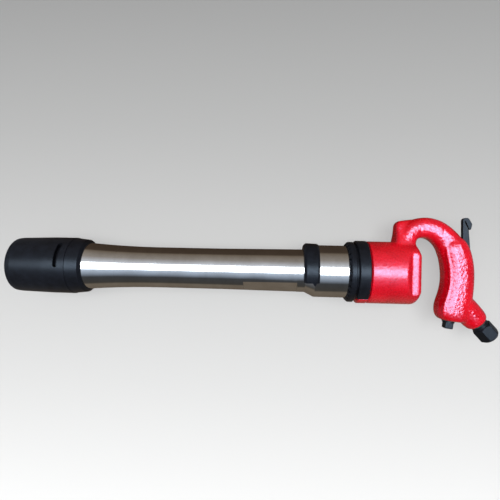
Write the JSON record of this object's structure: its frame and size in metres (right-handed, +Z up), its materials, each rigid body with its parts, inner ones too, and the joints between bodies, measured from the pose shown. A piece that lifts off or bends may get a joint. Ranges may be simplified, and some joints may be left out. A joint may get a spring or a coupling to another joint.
{
  "type": "pneumatic air hammer",
  "caption": "Long-stroke pneumatic riveting hammer: round black nose retainer that turns, polished barrel, red cast gooseneck handle with outside thumb throttle and hexagonal hose inlet.",
  "frame": {"origin": "centre of the tool opening, in the retainer's front face", "axes": "+X along the barrel axis from the nose to the handle, +Y towards the arch of the gooseneck handle, +Z up: the hammer lies on its side, with the plane of the handle level"},
  "size_m": [0.642, 0.161, 0.0824],
  "materials": {
    "black_oxide": "black oxide, oiled satin",
    "polished_steel": "polished",
    "red_paint": "gloss paint over a cast surface",
    "ground_steel": "ground",
    "brass": "turned",
    "rubber": "moulded",
    "gasket_fibre": "fibre sheet"
  },
  "bodies": {
    "hammer": {"retainer_lock_wire": "black_oxide", "retainer_collar": "black_oxide", "nose_bushing": "ground_steel", "barrel": "polished_steel", "exhaust_deflector": "black_oxide", "lock_ring": "black_oxide", "lock_ring_clip": "black_oxide", "valve_box_front": "ground_steel", "valve_box_rear": "ground_steel", "valve_dowel_pins": "ground_steel", "valve_gasket": "gasket_fibre", "handle": "red_paint", "lever_pin": "ground_steel", "throttle_guide": "brass", "pushrod_seal": "rubber", "throttle_seat": "ground_steel", "throttle_spring": "ground_steel", "throttle_plug": "black_oxide", "plug_seal": "rubber", "inlet_bushing": "black_oxide", "inlet_strainer": "ground_steel", "inlet_seal": "rubber"},
    "retainer": {"retainer_sleeve": "black_oxide", "rubber_bumper": "rubber", "bumper_washer": "ground_steel"},
    "piston": {"piston": "ground_steel"},
    "valve_spool": {"valve_spool": "ground_steel"},
    "throttle_lever": {"throttle_lever": "black_oxide"},
    "throttle_valve": {"throttle_pushrod": "ground_steel", "throttle_valve": "brass", "throttle_valve_seal": "rubber"}
  },
  "joints": [
    {"name": "retainer_spin", "type": "hinge", "parent": "hammer", "child": "retainer", "pos_m": [0.06, 0, 0], "axis": [1, 0, 0], "continuous": true},
    {"name": "piston_slide", "type": "slide", "parent": "hammer", "child": "piston", "axis": [1, 0, 0], "range_m": [0, 0.2794]},
    {"name": "valve_spool_slide", "type": "slide", "parent": "hammer", "child": "valve_spool", "axis": [1, 0, 0], "range_m": [0, 0.0045]},
    {"name": "throttle_lever", "type": "hinge", "parent": "hammer", "child": "throttle_lever", "pos_m": [0.6, 0.0185, 0], "axis": [0, 0, 1], "range_deg": [0, 10], "stiffness_Nm_per_rad": 2, "springref_deg": -11.46},
    {"name": "throttle_valve_slide", "type": "slide", "parent": "hammer", "child": "throttle_valve", "axis": [-0.1219, -0.9925, 0], "range_m": [0, 0.00182], "deforming": ["throttle_spring"]}
  ],
  "couplings": [
    {"joint": "throttle_valve_slide", "follows": "throttle_lever", "m_per_rad": 0.010367}
  ]
}
